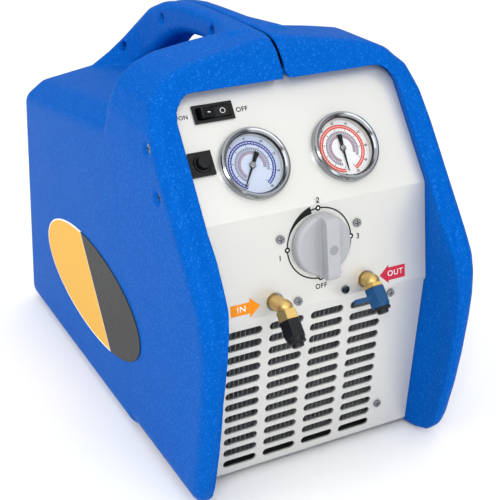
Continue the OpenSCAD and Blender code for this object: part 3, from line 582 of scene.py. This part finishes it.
class RECOVERY_OT_panel_print(bpy.types.Operator):
    """Prints the ring, arrows and plain marks on the control panel"""

    bl_idname = "recovery.panel_print"
    bl_label = "Panel print"

    def arrow(self, tip, neck, tail, s, head, shaft):
        """The head and shaft of a level arrow, by where it ends and turns, its height and its two widths."""
        point = bent_grid(1, 1, lambda u, v: (neck + u * (tip - neck), s + (v - 0.5) * head * (1 - u)))
        bpy.ops.object.mode_set(mode="EDIT")
        bpy.ops.mesh.select_all(action="SELECT")
        bpy.ops.mesh.remove_doubles(threshold=0.001)
        bpy.ops.object.mode_set(mode="OBJECT")
        return [point, bar(min(neck, tail), max(neck, tail), s - shaft / 2, s + shaft / 2)]

    def execute(self, context):
        settings = context.scene.recovery_panel
        dark = ink("dark_screen_print", settings.ink)
        pale = ink("white_screen_print", "F4F4F2")
        knob = (0, KNOB_S)

        def wedge(u, v):
            """The part of the ring that swells towards the second mark."""
            wide = 1.2 + 5.2 * u ** 1.2
            x, y = polar(29.7 + (0.5 - v) * wide, 292 + u * 55)
            return x + knob[0], y + knob[1]

        marks = [arc(RING_R, 1.2, 180, 310, knob), bent_grid(24, 1, wedge)]
        for clock in KNOB_MARKS:
            x, y = polar(RING_R, clock)
            marks.append(arc(1.2, 2.4, 0, 360, (x + knob[0], y + knob[1])))
        marks += [word("OFF", 4.2, 0, KNOB_S - 37), word("1", 4.6, -36.5, KNOB_S - 5.5),
                  word("2", 4.6, 0, KNOB_S + 36), word("3", 4.6, 36.5, KNOB_S - 1.5)]
        print_on(LOWER_PANEL, "knob_ring_print", marks, dark)
        dots = []
        for clock in KNOB_MARKS:
            x, y = polar(RING_R, clock)
            dots.append(arc(0.45, 0.9, 0, 360, (x + knob[0], y + knob[1])))
        print_on(LOWER_PANEL, "knob_dot_print", dots, pale, lift=0.14, thick=0.05)
        states = [word("ON", 3.4, -91.5, 87.7, 0.08), word("OFF", 3.9, -40.9, 87.1)]
        print_on(UPPER_PANEL, "switch_print", states, dark)
        inward = ink("orange_screen_print", settings.inward)
        outward = ink("red_screen_print", settings.outward)
        print_on(LOWER_PANEL, "inlet_arrow", self.arrow(-56.7, -66, -83, 10.2, 17.1, 9.6), inward)
        print_on(LOWER_PANEL, "outlet_arrow", self.arrow(56.8, 65.7, 82.3, 9.4, 16.5, 11.5), outward)
        ways = [word("IN", 5.4, -73.5, 10.2, 0.02), word("OUT", 5.0, 72.4, 9.4, 0.02)]
        print_on(LOWER_PANEL, "arrow_words", ways, pale, lift=0.15, thick=0.05)
        return {"FINISHED"}


class RECOVERY_OT_dials(bpy.types.Operator):
    """Prints the scales of the two gauges and caps their spindles"""

    bl_idname = "recovery.dials"
    bl_label = "Dials"

    def scale(self, name, start, sweep, steps, step, finish, soft, bands, dark):
        """The rings, ticks, bands and numbers of a dial, and the trim round it."""
        gauge = UPPER_PANEL @ Matrix.Translation((GAUGE_X[name], GAUGE_H, 0))
        dial = gauge @ Matrix.Translation((0, 0, DIAL_Z))
        main = [arc(17.9, 0.95, start, sweep), arc(20.0, 0.95, start, sweep)]
        main += [tick(17.9, 19.9, 0.4, start + sweep * i / (steps * 5)) for i in range(steps * 5 + 1)]
        print_on(dial, name + "_scale", main, finish)
        inner = [arc(14.6, 0.5, start + 10, sweep - 46), arc(11.9, 0.5, start + 16, sweep - 60)]
        inner += [tick(12.6, 14.6, 0.7, start + 10 + (sweep - 46) * i / 34) for i in range(35)]
        inner += [tick(9.6, 11.9, 0.7, start + 16 + (sweep - 60) * i / 26) for i in range(27)]
        print_on(dial, name + "_inner_scale", inner, soft)
        outer, middle, inmost = bands
        for part, r, wide, skip, cut, shade in (("scale_band", 18.95, 1.2, 0, 0, outer),
                                                ("outer_band", 13.6, 2.2, 10, 46, middle),
                                                ("inner_band", 10.7, 2.4, 16, 60, inmost)):
            band = arc(r, wide, start + skip, sweep - cut)
            print_on(dial, name + "_" + part, [band], shade, lift=0.01, thick=0.06)
        # the bright wall of the case between dial and glass
        bpy.ops.object.select_all(action="DESELECT")
        bpy.ops.mesh.primitive_cylinder_add(vertices=96, radius=24.7, depth=4.6, end_fill_type="NOTHING")
        wall = bpy.context.active_object
        wall.name = wall.data.name = name + "_case_lining"
        skin = wall.modifiers.new("skin", "SOLIDIFY")
        skin.thickness = 0.2
        skin.offset = 1
        apply_modifiers(wall)
        bpy.ops.object.shade_smooth_by_angle(angle=0.6)
        wall.matrix_world = dial @ Matrix.Translation((0, 0, 2.4))
        bpy.ops.object.transform_apply(location=True, rotation=True, scale=True)
        paint(wall, NODES["grille_panel"].data.materials[0])
        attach(wall, "machine")
        # a thin black ring round the edge of the glass, inside the bezel
        black = NODES[name + "_case"].data.materials[0]
        print_on(gauge @ Matrix.Translation((0, 0, GLASS_Z)), name + "_glass_edge_ring", [arc(24.65, 0.7, 0, 360)], black,
                 thick=0.3)
        numbers = []
        for i in range(steps + 1):
            px, py = polar(22.3, start + sweep * i / steps)
            numbers.append(word(str(i * step), 2.0, px, py, 0.04, 1.0))
            numbers.append(tick(15.4, 17.0, 0.4, start + sweep * i / steps))
        print_on(dial, name + "_numbers", numbers, dark)

    def needle_trim(self, name, rest):
        """A needle's broad counterweight and the bright cap of its spindle, at the needle's angle at rest."""
        needle = (UPPER_PANEL @ Matrix.Translation((GAUGE_X[name], GAUGE_H, 0))
                  @ Matrix.Rotation(-math.radians(rest), 4, "Z"))
        tail = bent_grid(1, 6, lambda u, v: ((u - 0.5) * (2.6 + 1.6 * v), -2.4 - 9.4 * v))
        print_on(needle, name + "_needle_tail", [tail], NODES[name + "_needle"].data.materials[0],
                 name + "_pointer", TAIL_Z, 0.9)
        bpy.ops.object.select_all(action="DESELECT")
        bpy.ops.mesh.primitive_cylinder_add(vertices=32, radius=2.5, depth=0.8)
        cap = bpy.context.active_object
        cap.name = cap.data.name = name + "_needle_cap"
        rounding = cap.modifiers.new("rounding", "BEVEL")
        rounding.width = 0.35
        rounding.segments = 3
        apply_modifiers(cap)
        bpy.ops.object.shade_smooth_by_angle(angle=0.6)
        cap.matrix_world = needle @ Matrix.Translation((0, 0, SPINDLE_END_Z))
        bpy.ops.object.transform_apply(location=True, rotation=True, scale=True)
        paint(cap, NODES[name + "_bezel"].data.materials[0])
        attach(cap, name + "_pointer")

    def execute(self, context):
        settings = context.scene.recovery_panel
        dark = ink("dial_black_print", settings.ink)
        grey, mauve = ink("dial_grey_print", "B9C1C9"), ink("dial_mauve_print", "BFA3B4")
        self.scale("low", 208, 300, 8, 2, ink("dial_blue_print", settings.low_scale),
                   ink("dial_grey_blue_print", "7F86A6"), (ink("dial_pale_blue_print", "B4C0E6"), grey, mauve), dark)
        self.needle_trim("low", 214)
        self.scale("high", 188, 330, 10, 5, ink("dial_red_print", settings.high_scale),
                   ink("dial_grey_pink_print", "93808A"), (ink("dial_pink_print", "F6BDB5"), grey, mauve), dark)
        self.needle_trim("high", 181)
        return {"FINISHED"}


class RECOVERY_OT_stage(bpy.types.Operator):
    """Makes the floor, the soft light and the camera"""

    bl_idname = "recovery.stage"
    bl_label = "Stage"

    def execute(self, context):
        settings = context.scene.recovery_stage
        context.scene.view_settings.view_transform = "Standard"
        bpy.ops.object.select_all(action="DESELECT")
        bpy.ops.mesh.primitive_plane_add(size=40)
        floor = context.active_object
        floor.name = "studio_floor"
        # plain backdrop paper: flat and pale
        paper, _, _ = start_material("floor_paper", settings.floor, Roughness=0.9)
        floor.data.materials.append(paper)
        world = bpy.data.worlds.new("studio")
        world.use_nodes = True
        world.node_tree.nodes["Background"].inputs["Color"].default_value = (1, 1, 1, 1)
        world.node_tree.nodes["Background"].inputs["Strength"].default_value = 0.45
        context.scene.world = world
        for name, place, wide, power in LIGHTS:
            bpy.ops.object.light_add(type="AREA", location=place)
            lamp = context.active_object
            lamp.name = name + "_light"
            lamp.data.size = wide
            lamp.data.energy = power
            lamp.rotation_euler = (LIGHT_AIM - Vector(place)).to_track_quat("-Z", "Y").to_euler()
        bpy.ops.object.camera_add()
        camera = context.active_object
        camera.data.sensor_width = 36
        camera.data.lens = settings.lens
        camera.data.clip_start = 0.01
        # the camera's own axes and place, solved from the photograph
        right = Vector((0.88744, -0.46090, -0.00422))
        up = Vector((0.20035, 0.37749, 0.90408))
        back = Vector((-0.41510, -0.80316, 0.42734))
        turn = Matrix((right, up, back)).transposed().to_4x4()
        camera.matrix_world = Matrix.Translation((-0.41328, -0.86734, 0.58223)) @ turn
        context.scene.camera = camera
        return {"FINISHED"}


class RECOVERY_PT_panel(bpy.types.Panel):
    """Lists the steps in order"""

    bl_idname = "RECOVERY_PT_panel"
    bl_label = "Recovery machine"
    bl_space_type = "VIEW_3D"
    bl_region_type = "UI"
    bl_category = "Recovery"

    def draw(self, context):
        for step in OPERATORS:
            self.layout.operator(step.bl_idname)


OPERATORS = (RECOVERY_OT_finishes, RECOVERY_OT_shell, RECOVERY_OT_small_mouldings, RECOVERY_OT_side_label,
             RECOVERY_OT_switch_marks, RECOVERY_OT_panel_print, RECOVERY_OT_dials, RECOVERY_OT_stage)
GROUPS = (("recovery_shell", ShellSettings), ("recovery_panel", PanelSettings), ("recovery_stage", StageSettings))


def register():
    for name, group in GROUPS:
        bpy.utils.register_class(group)
        setattr(bpy.types.Scene, name, bpy.props.PointerProperty(type=group))
    for made in (*OPERATORS, RECOVERY_PT_panel):
        bpy.utils.register_class(made)


def unregister():
    for made in (RECOVERY_PT_panel, *reversed(OPERATORS)):
        bpy.utils.unregister_class(made)
    for name, group in reversed(GROUPS):
        delattr(bpy.types.Scene, name)
        bpy.utils.unregister_class(group)


def main():
    register()
    for step in OPERATORS:
        family, name = step.bl_idname.split(".")
        getattr(getattr(bpy.ops, family), name)()
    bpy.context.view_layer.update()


if __name__ == "__main__":
    main()
